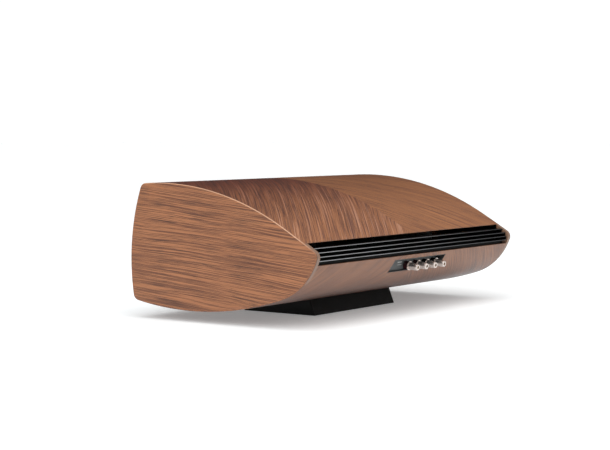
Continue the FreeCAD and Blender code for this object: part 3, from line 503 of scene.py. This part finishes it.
def winding():
    """Lacquered copper with fine level lines, closer together than the wire's own turns."""
    paint = Paint("copper", metallic=1.0, roughness=0.3)
    _, _, z = paint.axes()
    turns = paint.math("SINE", paint.math("MULTIPLY", z, 2 * math.pi / WIRE_LINES))
    stain = paint.noise(paint.place, 120.0, 2.0)
    color = paint.mix(paint.fit(turns, -1.0, 0.2), tone("5a2b16"), tone("c8744a"))
    paint.shade("base_color", paint.mix(paint.fit(stain, 0.4, 0.8, 0.0, 0.5), color, tone("8a4526")))
    paint.bump(turns, 0.0002, 0.8)
    return paint.material


def silk():
    """Doped silk: a very fine dark weave under a thin coat."""
    paint = Paint("silk", roughness=0.6)
    weave = paint.noise(paint.place, 3800.0, 1.0)
    paint.shade("base_color", paint.mix(paint.fit(weave, 0.35, 0.65), tone("0e0e0f"), tone("2a292b")))
    paint.shade("coat_weight", 0.3)
    paint.shade("coat_roughness", 0.35)
    paint.bump(weave, 0.00008, 0.6)
    return paint.material


MATERIALS = {
    "panel_veneer": panel_veneer(),
    "top_veneer": skin_veneer("top_veneer", top_wood),
    "bottom_veneer": skin_veneer("bottom_veneer", bottom_wood),
    "baffle_cover": leather(),
    "black_board": board("black_board", tone("0c0c0c"), tone("060606")),
    "blade_metal": blades(),
    "black_plastic": moulded("black_plastic", tone("070707"), tone("101010"), 0.34, shine=0.15),
    "red_plastic": moulded("red_plastic", tone("2a070b"), tone("3a0e12"), 0.35),
    "cup_plastic": moulded("cup_plastic", tone("2c2d2d"), tone("383939"), 0.5, 2400.0),
    "plate_metal": plate(),
    "knob_metal": metal("knob_metal", tone("d9cdc6"), 0.30, 1500.0, (1.0, 0.1, 1.0), 0.9),
    "contact_brass": metal("contact_brass", tone("d8b56a"), 0.28),
    "steel": metal("steel", tone("b9babc"), 0.3),
    "black_steel": metal("black_steel", tone("2e2e30"), 0.36),
    "basket_metal": metal("basket_metal", tone("505154"), 0.42, 1200.0),
    "ferrite": board("ferrite", tone("3c3d40"), tone("232427")),
    "cone_paper": paper(),
    "soft_rubber": moulded("soft_rubber", tone("161616"), tone("232323"), 0.55, 900.0),
    "spider_cloth": cloth("spider_cloth", tone("b98a3c"), tone("7c5a22")),
    "silk": silk(),
    "circuit_board": moulded("circuit_board", tone("1d4a2c"), tone("2a5d3a"), 0.4),
    "copper": winding(),
    "film": moulded("film", tone("a8521f"), tone("c46b31"), 0.3),
    "resistor_ceramic": board("resistor_ceramic", tone("dfdcd2"), tone("bdb9ad")),
    "lead_jacket": moulded("lead_jacket", tone("2a2a2c"), tone("3b3b3d"), 0.5, 700.0),
    "grey_wadding": fleece(),
}


def finish_nodes():
    """Gives each CAD node the finish that the record names for it."""
    for row in frame["record"]["subparts"]:
        mesh = nodes[row["node"]].data
        mesh.materials.clear()
        mesh.materials.append(MATERIALS[row["material_slot"]])


# ================================================================ stage
ROOM_HORIZON = 0.45
ROOM_ZENITH = 2.2
ROOM_DIM_SIDE = 0.06
ROOM_BRIGHT_SIDE = 1.05
BACKDROP_STRENGTH = 1.05
FLOOR_TINT = "f5f8f9"
FLOOR_GLOW = 0.23
FLOOR_REACH = 60.0
SOFTBOX_AIM = Vector((0.0, 0.0, 0.1))
# Place, size and power of each softbox.
SOFTBOXES = {
    "overhead": ((0.3, 0.3, 2.0), (1.8, 1.6), 9.0),
    "side": ((2.2, 0.5, 1.1), (0.9, 0.9), 9.0),
}


def camera():
    data = bpy.data.cameras.new("camera")
    data.lens = LENS_MM
    data.sensor_width = SENSOR_MM
    data.clip_start = 0.05
    data.clip_end = 200.0
    holder = bpy.data.objects.new("camera", data)
    turn = Matrix.Rotation(math.radians(CAMERA_YAW_DEG - 90), 4, "Z")
    tilt = Matrix.Rotation(math.radians(90 - CAMERA_DOWN_DEG), 4, "X")
    roll = Matrix.Rotation(math.radians(CAMERA_ROLL_DEG), 4, "Z")
    holder.matrix_world = Matrix.Translation(CAMERA_PLACE) @ turn @ tilt @ roll
    bpy.context.scene.collection.objects.link(holder)
    bpy.context.scene.camera = holder


def floor():
    """Pale floor. It gives off a little light of its own, which keeps the shadows soft."""
    corners = [(x * FLOOR_REACH, y * FLOOR_REACH, 0) for x, y in ((-1, -1), (1, -1), (1, 1), (-1, 1))]
    mesh = bpy.data.meshes.new("floor")
    mesh.from_pydata(corners, [], [(0, 1, 2, 3)])
    ground = bpy.data.objects.new("floor", mesh)
    bpy.context.scene.collection.objects.link(ground)
    paint = Paint("floor", roughness=0.5, emission_color=tone("ffffff"), emission_strength=FLOOR_GLOW)
    speck = paint.fit(paint.noise(paint.place, 30.0, 2.0), 0.4, 0.6, 0.0, 0.05)
    paint.shade("base_color", paint.mix(speck, tone(FLOOR_TINT), tone("ffffff")))
    mesh.materials.append(paint.material)


def softbox(name, place, size, power):
    data = bpy.data.lights.new(name, "AREA")
    data.shape = "RECTANGLE"
    data.size, data.size_y = size
    data.energy = power
    lamp = bpy.data.objects.new(name, data)
    lamp.location = place
    lamp.rotation_mode = "QUATERNION"
    lamp.rotation_quaternion = (SOFTBOX_AIM - Vector(place)).to_track_quat("-Z", "Y")
    bpy.context.scene.collection.objects.link(lamp)


def world_math(tree, operation, first, second):
    node = tree.nodes.new("ShaderNodeMath")
    node.operation = operation
    tree.links.new(first, node.inputs[0])
    tree.links.new(second, node.inputs[1])
    return node.outputs[0]


def world_range(tree, value, low, high, new_low, new_high):
    node = tree.nodes.new("ShaderNodeMapRange")
    tree.links.new(value, node.inputs[0])
    for socket, number in zip(list(node.inputs)[1:], (low, high, new_low, new_high)):
        socket.default_value = number
    return node.outputs[0]


def room():
    """A white backdrop. What lights the object is a room, bright overhead and dim towards -X and -Y."""
    world = bpy.data.worlds.new("room")
    bpy.context.scene.world = world
    world.use_nodes = True
    tree = world.node_tree
    walls = tree.nodes["Background"]
    walls.inputs["Color"].default_value = (1.0, 1.0, 1.0, 1.0)
    backdrop = tree.nodes.new("ShaderNodeBackground")
    backdrop.inputs["Color"].default_value = (1.0, 1.0, 1.0, 1.0)
    backdrop.inputs["Strength"].default_value = BACKDROP_STRENGTH
    way = tree.nodes.new("ShaderNodeSeparateXYZ")
    tree.links.new(tree.nodes.new("ShaderNodeTexCoord").outputs["Generated"], way.inputs[0])
    sky = world_range(tree, way.outputs["Z"], 0.0, 1.0, ROOM_HORIZON, ROOM_ZENITH)
    sideways = world_math(tree, "ADD", way.outputs["X"], way.outputs["Y"])
    side = world_range(tree, sideways, -1.2, 0.8, ROOM_DIM_SIDE, ROOM_BRIGHT_SIDE)
    tree.links.new(world_math(tree, "MULTIPLY", sky, side), walls.inputs["Strength"])
    choice = tree.nodes.new("ShaderNodeMixShader")
    tree.links.new(tree.nodes.new("ShaderNodeLightPath").outputs["Is Camera Ray"], choice.inputs[0])
    tree.links.new(walls.outputs[0], choice.inputs[1])
    tree.links.new(backdrop.outputs[0], choice.inputs[2])
    tree.links.new(choice.outputs[0], tree.nodes["World Output"].inputs["Surface"])


def lights():
    for name, (place, size, power) in SOFTBOXES.items():
        softbox(name, place, size, power)
    room()
    bpy.context.scene.view_settings.view_transform = "Standard"


# ================================================================ mesh helpers
def piece(name, mesh, body, slot, *replaced):
    """Puts a finished mesh on a body, with its material, in place of CAD nodes."""
    made = bpy.data.objects.new(name, mesh)
    bpy.context.scene.collection.objects.link(made)
    mesh.materials.append(MATERIALS[slot])
    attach(made, body)
    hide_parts(*replaced)
    return made


def turned(name, outline, steps=96, radius_at=None):
    """A closed (radius, height) outline turned about z. radius_at may reshape a radius at an angle."""
    rows = len(outline)
    points = []
    for step in range(steps):
        angle = 2 * math.pi * step / steps
        for radius, height in outline:
            reach = radius_at(radius, height, angle) if radius_at else radius
            points.append((reach * math.cos(angle), reach * math.sin(angle), height))
    faces = []
    for step in range(steps):
        here, there = step * rows, (step + 1) % steps * rows
        for row in range(rows):
            after = (row + 1) % rows
            faces.append((here + row, there + row, there + after, here + after))
    mesh = bpy.data.meshes.new(name)
    mesh.from_pydata(points, [], faces)
    return tidied(mesh)


def tidied(mesh, sharp_deg=35.0):
    """Joins doubled points, faces outward, and shades smooth except at sharp edges."""
    shape = bmesh.new()
    shape.from_mesh(mesh)
    bmesh.ops.remove_doubles(shape, verts=shape.verts, dist=1e-6)
    bmesh.ops.dissolve_degenerate(shape, edges=shape.edges, dist=1e-6)
    bmesh.ops.recalc_face_normals(shape, faces=shape.faces)
    for face in shape.faces:
        face.smooth = True
    for edge in shape.edges:
        edge.smooth = edge.calc_face_angle(0.0) < math.radians(sharp_deg)
    shape.to_mesh(mesh)
    shape.free()
    return mesh


def evaluated_mesh(holder):
    """The mesh of an object with its modifiers applied. The object itself is removed."""
    mesh = bpy.data.meshes.new_from_object(holder.evaluated_get(bpy.context.evaluated_depsgraph_get()))
    bpy.data.objects.remove(holder)
    mesh.materials.clear()
    return mesh


def on_baffle(x=0.0):
    """Local z points out of the baffle, local y up it."""
    turn = Matrix.Rotation(math.radians(90.0 - BAFFLE_TILT_DEG), 4, "X")
    return Matrix.Translation(BAFFLE_ORIGIN + Vector((x, 0, 0))) @ turn


def on_terminal(x=0.0):
    """Local z points out of the terminal plate, local y down it."""
    turn = Matrix.Rotation(math.radians(-90.0 - TERMINAL_TILT_DEG), 4, "X")
    return Matrix.Translation(TERMINAL_ORIGIN + Vector((x, 0, 0))) @ turn


# ================================================================ plinth
FOOT_EDGE = 0.0012


def eased_foot():
    """Small radii on the plinth's edges, which catch the light."""
    eased = nodes["foot_plinth"].modifiers.new("eased_edges", "BEVEL")
    eased.width = FOOT_EDGE
    eased.segments = 3
    eased.limit_method = "ANGLE"
    eased.angle_limit = math.radians(30)
    eased.harden_normals = True


# ================================================================ binding posts
KNOB_BASE = 0.0090
KNOB_TOP = 0.0256
KNOB_NOSE = 0.0016
KNOB_SHOULDER = 0.0004
KNOB_RADIUS = 0.0066
KNOB_FLATS = 0.0120
KNOB_FLATS_TAPER = 0.0008
KNOB_CORNER_SHARPNESS = 60.0
KNOB_FLARE = 1.6
KNOB_NECK_RADIUS = 0.0053
KNOB_END_RADIUS = 0.0049
KNOB_EDGE = 0.0005
KNOB_HOLE_RADIUS = 0.0026
KNOB_HOLE_EDGE = 0.0003
KNOB_SIDE_STEPS = 24
THREAD_RADIUS = 0.00306
THREAD_TOP = 0.0238


def hexed(radius, height, angle):
    """Cuts six tapering flats into a round outline, with softly rounded corners between them."""
    if radius <= KNOB_END_RADIUS:
        return radius
    turn = angle % (math.pi / 3) - math.pi / 6
    rise = (height - KNOB_BASE) / (KNOB_TOP - KNOB_BASE)
    flat = (KNOB_FLATS / 2 - KNOB_FLATS_TAPER * rise) / math.cos(turn)
    sharpness = KNOB_CORNER_SHARPNESS
    return (radius ** -sharpness + flat ** -sharpness) ** (-1 / sharpness)


def eased_edge(radius, height, way):
    """Three points round an outer edge, from the end face to the side. way is 1 at a foot, -1 at a top."""
    shares = ((1.0, 0.0), (0.3, 0.3), (0.0, 1.0))
    return [(radius - KNOB_EDGE * inward, height + way * KNOB_EDGE * along) for inward, along in shares]


def knob_side():
    """The long side, which narrows from the foot to the nose."""
    low = KNOB_BASE + KNOB_EDGE
    high = KNOB_TOP - KNOB_NOSE
    side = []
    for step in range(1, KNOB_SIDE_STEPS + 1):
        share = step / KNOB_SIDE_STEPS
        radius = KNOB_RADIUS + (KNOB_NECK_RADIUS - KNOB_RADIUS) * share ** KNOB_FLARE
        side.append((radius, low + (high - low) * share))
    return side


def knob(index):
    """Long tapering clamp knob with six flats, a small round nose and a countersunk plug hole."""
    outline = [(THREAD_RADIUS, KNOB_BASE)] + eased_edge(KNOB_RADIUS, KNOB_BASE, 1) + knob_side()
    outline.append((KNOB_END_RADIUS, KNOB_TOP - KNOB_NOSE + KNOB_SHOULDER))
    outline += reversed(eased_edge(KNOB_END_RADIUS, KNOB_TOP, -1))
    outline += [(KNOB_HOLE_RADIUS + KNOB_HOLE_EDGE, KNOB_TOP),
                (KNOB_HOLE_RADIUS, KNOB_TOP - KNOB_HOLE_EDGE),
                (KNOB_HOLE_RADIUS, THREAD_TOP), (THREAD_RADIUS, THREAD_TOP)]
    number = str(index + 1)
    mesh = turned("knob_" + number, outline, 120, hexed)
    mesh.transform(on_terminal(POST_X[index]))
    piece("clamp_knob_" + number, mesh, "knob_" + number, "knob_metal", "post_knob_" + number)


# ================================================================ drivers
# Heights are measured out of the baffle's face.
WOOFERS = {"right": WOOFER_X, "left": -WOOFER_X}
SEAT = 0.0010
ROLL_CENTRE = 0.055
ROLL_RADIUS = 0.005
ROLL_WALL = 0.0008
ROLL_LIPS = (0.0482, 0.0618)
ROLL_STEPS = 24
CONE_RIM = 0.048
CONE_LIP = 0.0505
CONE_NECK = 0.0131
CONE_DEPTH = 0.0228
CONE_BULGE = 0.0016
CONE_WALL = 0.0012
CONE_STEPS = 60
CONE_BACK_STRIDE = 4
RIB_PLACES = (0.30, 0.52, 0.74)
RIB_WIDTH = 0.012
RIB_HEIGHT = 0.0005
GLUE_FILLET = 0.0004
FORMER_INNER = 0.0125
FORMER_END = -0.053
COIL_OUTER = 0.0135
COIL_TOP = -0.0445
CAP_RADIUS = 0.0186
CAP_FOOT = -0.0185
CAP_TOP = -0.0101
CAP_WALL = 0.0008
CAP_RIM = ((0.0012, -0.0006), (0.0010, 0.0002), (0.0004, 0.0004))
CAP_STEPS = 24
AXIS_GAP = 1e-5
SPIDER_RADIUS = 0.034
SPIDER_HEIGHT = -0.0352
SPIDER_SEAT = -0.0415
SPIDER_SKIRT = 0.00045
SPIDER_CLOTH = 0.0006
SPIDER_WAVE = 0.0009
SPIDER_WAVES = 5
SPIDER_STEPS = 60


def suspended(name, mesh, side, slot, replaced, moving_radius, still_radius):
    """A ring that goes with the cone at its inner edge and stays with the basket at its outer edge."""
    reach = np.array([math.hypot(vertex.co.x, vertex.co.y) for vertex in mesh.vertices])
    share = np.clip((still_radius - reach) / (still_radius - moving_radius), 0, 1)
    share = share * share * (3 - 2 * share)
    mesh.transform(on_baffle(WOOFERS[side]))
    made = bpy.data.objects.new(name, mesh)
    bpy.context.scene.collection.objects.link(made)
    mesh.materials.append(MATERIALS[slot])
    centre = on_baffle(WOOFERS[side]) @ Vector((0, 0, SEAT))
    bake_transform(made, "root", "woofer_" + side, start=centre, end=centre + Vector((0, 0, still_radius)))
    # This one follows the radius.
    mesh.attributes["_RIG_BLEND"].data.foreach_set("value", share.astype(np.float32))
    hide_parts(replaced)


def roll_side(radius, first, last):
    """A half circle over the gap between cone and basket, from one angle to another."""
    places = []
    for step in range(ROLL_STEPS + 1):
        angle = first + (last - first) * step / ROLL_STEPS
        places.append((ROLL_CENTRE + radius * math.cos(angle), SEAT + radius * math.sin(angle)))
    return places


def surround_roll(side):
    """Rubber half roll. Its outer lip stays with the basket and its inner lip goes with the cone."""
    rise = math.asin(ROLL_WALL / ROLL_RADIUS)
    top = SEAT + ROLL_WALL
    inner_lip, outer_lip = ROLL_LIPS
    outline = [(outer_lip, SEAT), (outer_lip, top)] + roll_side(ROLL_RADIUS, rise, math.pi - rise)
    outline += [(inner_lip, top), (inner_lip, SEAT)] + roll_side(ROLL_RADIUS - ROLL_WALL, math.pi, 0.0)
    mesh = turned("surround_" + side, outline, 144)
    suspended("surround_roll_" + side, mesh, side, "soft_rubber", "woofer_surround_" + side,
              ROLL_CENTRE - ROLL_RADIUS, ROLL_CENTRE + ROLL_RADIUS)


def spider(side):
    """Corrugated centring cloth from the coil former to a skirt glued in the basket."""
    upper = []
    for step in range(SPIDER_STEPS + 1):
        share = step / SPIDER_STEPS
        fade = math.sin(math.pi * share) ** 0.5
        wave = SPIDER_WAVE * fade * math.sin(2 * math.pi * SPIDER_WAVES * share)
        upper.append((CONE_NECK + (SPIDER_RADIUS - CONE_NECK) * share, SPIDER_HEIGHT + wave))
    lower = [(radius, height - SPIDER_CLOTH) for radius, height in upper]
    outside = SPIDER_RADIUS + SPIDER_SKIRT
    skirt = [(outside, SPIDER_HEIGHT), (outside, SPIDER_SEAT), (SPIDER_RADIUS, SPIDER_SEAT)]
    mesh = turned("spider_" + side, upper + skirt + lower[::-1], 96)
    suspended("centring_spider_" + side, mesh, side, "spider_cloth", "woofer_spider_" + side,
              CONE_NECK, SPIDER_RADIUS)


def cone_front():
    """The cone's face from its lip down a curved, ribbed flare to its neck."""
    face = [(CONE_LIP, SEAT), (CONE_RIM, SEAT)]
    for step in range(1, CONE_STEPS + 1):
        share = step / CONE_STEPS
        radius = CONE_RIM + (CONE_NECK - CONE_RIM) * share
        height = SEAT - (CONE_DEPTH + SEAT) * share + CONE_BULGE * math.sin(math.pi * share)
        rib = sum(math.exp(-((share - place) / RIB_WIDTH) ** 2) for place in RIB_PLACES)
        face.append((radius, height + RIB_HEIGHT * rib))
    return face


def cone(side):
    """Pressed paper cone with three stiffening ribs, and its former and voice coil behind."""
    front = cone_front()
    back = [(radius, height - CONE_WALL) for radius, height in front[2::CONE_BACK_STRIDE]]
    former = [(FORMER_INNER, front[-1][1]), (FORMER_INNER, FORMER_END), (COIL_OUTER, FORMER_END),
              (COIL_OUTER, COIL_TOP), (CONE_NECK, COIL_TOP), (CONE_NECK, back[-1][1] - GLUE_FILLET)]
    outline = front + former + back[::-1] + [(CONE_LIP, SEAT - CONE_WALL)]
    mesh = turned("cone_" + side, outline, 144)
    mesh.transform(on_baffle(WOOFERS[side]))
    piece("paper_cone_" + side, mesh, "woofer_" + side, "cone_paper", "woofer_cone_" + side)


def dust_cap(side):
    """A shallow dome with a rolled rim that is glued to the cone."""
    rim = [(CAP_RADIUS + out, CAP_FOOT + up) for out, up in CAP_RIM]
    rise = CAP_TOP - CAP_FOOT
    dome = []
    for step in range(CAP_STEPS + 1):
        turn = step / CAP_STEPS * math.pi / 2
        dome.append((CAP_RADIUS * math.cos(turn) + AXIS_GAP, CAP_FOOT + rise * math.sin(turn)))
    inner = [(max(radius - CAP_WALL, AXIS_GAP), height - CAP_WALL) for radius, height in dome]
    mesh = turned("dust_cap_" + side, rim + dome + inner[::-1], 96)
    mesh.transform(on_baffle(WOOFERS[side]))
    piece("dust_cap_" + side, mesh, "woofer_" + side, "cone_paper", "woofer_cap_" + side)


# ================================================================ front cover
COVER_HEIGHT = 0.150
COVER_THICKNESS = 0.020
COVER_EDGE = 0.0016
COVER_GAP = 0.0003
WOOFER_HOLE = 0.0615
TWEETER_HOLE = 0.037
HOLE_STEPS = 96


def ring_of_points(curve, points):
    """Adds a closed outline to a flat curve."""
    spline = curve.splines.new("POLY")
    spline.points.add(len(points) - 1)
    for place, (x, y) in zip(spline.points, points):
        place.co = (x, y, 0.0, 1.0)
    spline.use_cyclic_u = True


def front_cover():
    """The baffle in its leather, rounded where the leather turns in at the edges and driver holes."""
    curve = bpy.data.curves.new("cover", "CURVE")
    curve.dimensions = "2D"
    curve.fill_mode = "BOTH"
    curve.extrude = COVER_THICKNESS / 2 - COVER_EDGE
    curve.bevel_depth = COVER_EDGE
    curve.bevel_resolution = 4
    curve.offset = -COVER_EDGE
    wide = PANEL_INNER_X - COVER_GAP
    high = COVER_HEIGHT / 2 - COVER_GAP
    ring_of_points(curve, [(-wide, -high), (wide, -high), (wide, high), (-wide, high)])
    for x, radius in ((-WOOFER_X, WOOFER_HOLE), (0.0, TWEETER_HOLE), (WOOFER_X, WOOFER_HOLE)):
        turns = [2 * math.pi * step / HOLE_STEPS for step in range(HOLE_STEPS)]
        ring_of_points(curve, [(x + radius * math.cos(turn), radius * math.sin(turn)) for turn in turns])
    holder = bpy.data.objects.new("cover", curve)
    bpy.context.scene.collection.objects.link(holder)
    mesh = evaluated_mesh(holder)
    mesh.transform(on_baffle() @ Matrix.Translation((0, 0, -COVER_THICKNESS / 2)))
    piece("leather_front", tidied(mesh), "root", "baffle_cover", "front_baffle")


# ================================================================ inside
COIL_FLOOR = 0.0476
WIRE_PITCH = 0.0015
WIRE_RIDGE = 0.0004
WIRE_STEPS = 6
# Each coil's place as x and y, its outer and inner radius, and its height.
COILS = {
    "coil_large": (-0.044, -0.088, 0.019, 0.009, 0.018),
    "coil_small": (0.046, -0.092, 0.015, 0.007, 0.015),
}
WADDING_VOXEL = 0.005
TUFTS_PER_METRE = 38.0
TUFT_DEPTH = 0.0018


def coil(name, x, y, outer, inner, height):
    """Air-cored inductor: wire turns show as ridges on its outside and its inside."""
    steps = int(height / WIRE_PITCH) * WIRE_STEPS
    outside = []
    inside = []
    for step in range(steps + 1):
        groove = WIRE_RIDGE * (1 - abs(math.sin(math.pi * step / WIRE_STEPS)))
        level = COIL_FLOOR + height * step / steps
        outside.append((outer - groove, level))
        inside.append((inner + groove, level))
    mesh = turned(name, outside + inside[::-1], 72)
    mesh.transform(Matrix.Translation((x, y, 0)))
    piece(name, mesh, "root", "copper", "crossover_coils")


def wadding_half(side, sign):
    """The CAD slab on one side of the cabinet, cut into small even faces."""
    shape = bmesh.new()
    shape.from_mesh(nodes["wadding"].data)
    other = [vertex for vertex in shape.verts if vertex.co.x * sign < 0]
    bmesh.ops.delete(shape, geom=other, context="VERTS")
    mesh = bpy.data.meshes.new("wadding_" + side)
    shape.to_mesh(mesh)
    shape.free()
    holder = bpy.data.objects.new("wadding", mesh)
    bpy.context.scene.collection.objects.link(holder)
    remesh = holder.modifiers.new("voxels", "REMESH")
    remesh.mode = "VOXEL"
    remesh.voxel_size = WADDING_VOXEL
    return evaluated_mesh(holder)


def wadding_pad(side, sign):
    """Polyester wadding: the CAD slab drawn in, with tufts and hollows."""
    fluffy = wadding_half(side, sign)
    fluffy.name = "wadding_" + side
    normals = [vertex.normal.copy() for vertex in fluffy.vertices]
    for vertex, normal in zip(fluffy.vertices, normals):
        tuft = noise.fractal(vertex.co * TUFTS_PER_METRE, 1.0, 2.0, 4)
        vertex.co -= normal * TUFT_DEPTH * (1 + tuft)
    fluffy.polygons.foreach_set("use_smooth", [True] * len(fluffy.polygons))
    made = piece("wadding_" + side, fluffy, "root", "grey_wadding", "wadding")


# ================================================================ making
camera()
floor()
lights()
finish_nodes()
eased_foot()
for post in range(len(POST_X)):
    knob(post)
for woofer_side in WOOFERS:
    surround_roll(woofer_side)
    spider(woofer_side)
    cone(woofer_side)
    dust_cap(woofer_side)
front_cover()
for coil_name, coil_sizes in COILS.items():
    coil(coil_name, *coil_sizes)
wadding_pad("right", 1)
wadding_pad("left", -1)
